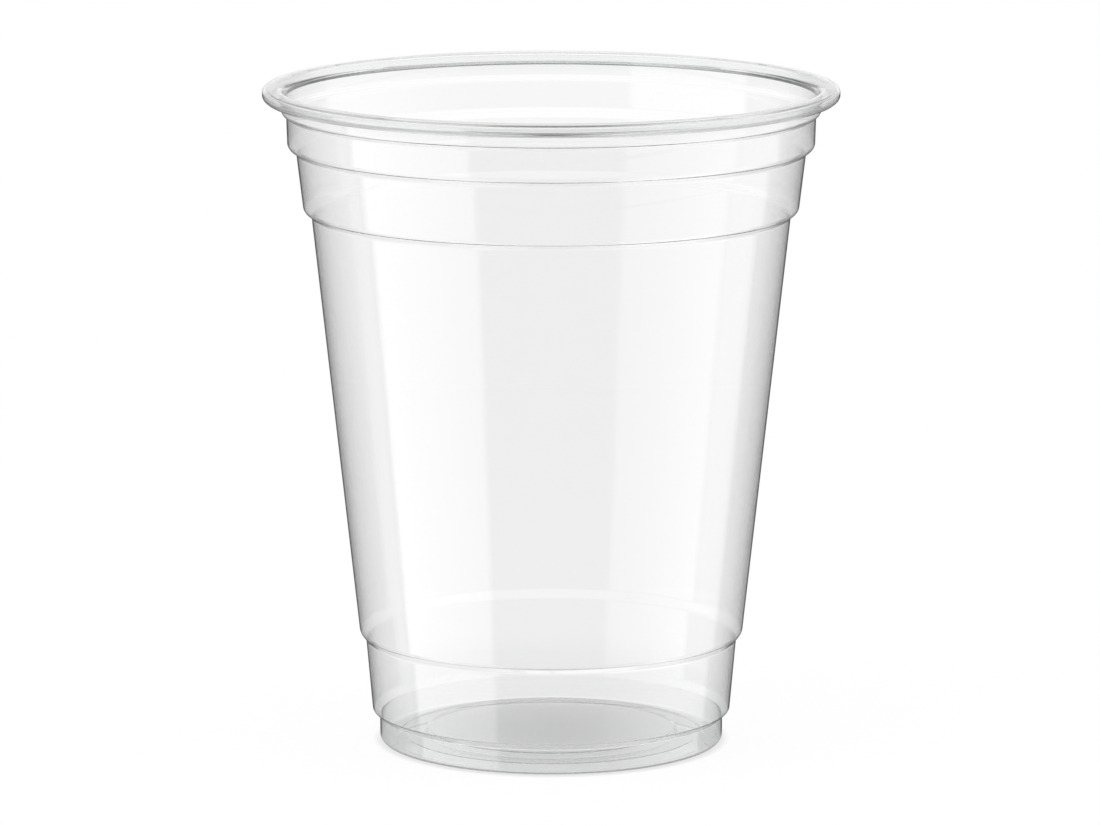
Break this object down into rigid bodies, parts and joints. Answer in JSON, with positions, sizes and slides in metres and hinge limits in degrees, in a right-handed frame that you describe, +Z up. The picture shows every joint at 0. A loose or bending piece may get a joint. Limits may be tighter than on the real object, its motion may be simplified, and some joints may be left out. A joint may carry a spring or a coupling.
{
  "type": "plastic disposable cup",
  "caption": "Clear thermoformed disposable cup with a rolled rim that takes a push-fit lid, stacking ledges, a tapered body and a raised floor.",
  "frame": {"origin": "centre of the foot ring's underside, on the plane the cup stands on", "axes": "+Z up along the cup's axis, from the foot to the mouth; +X and +Y are any two square directions, as the cup is round"},
  "size_m": [0.098, 0.098, 0.113],
  "materials": {
    "clear_plastic": "clear, glossy, see-through sheet"
  },
  "bodies": {
    "root": {"cup": "clear_plastic"}
  },
  "joints": []
}
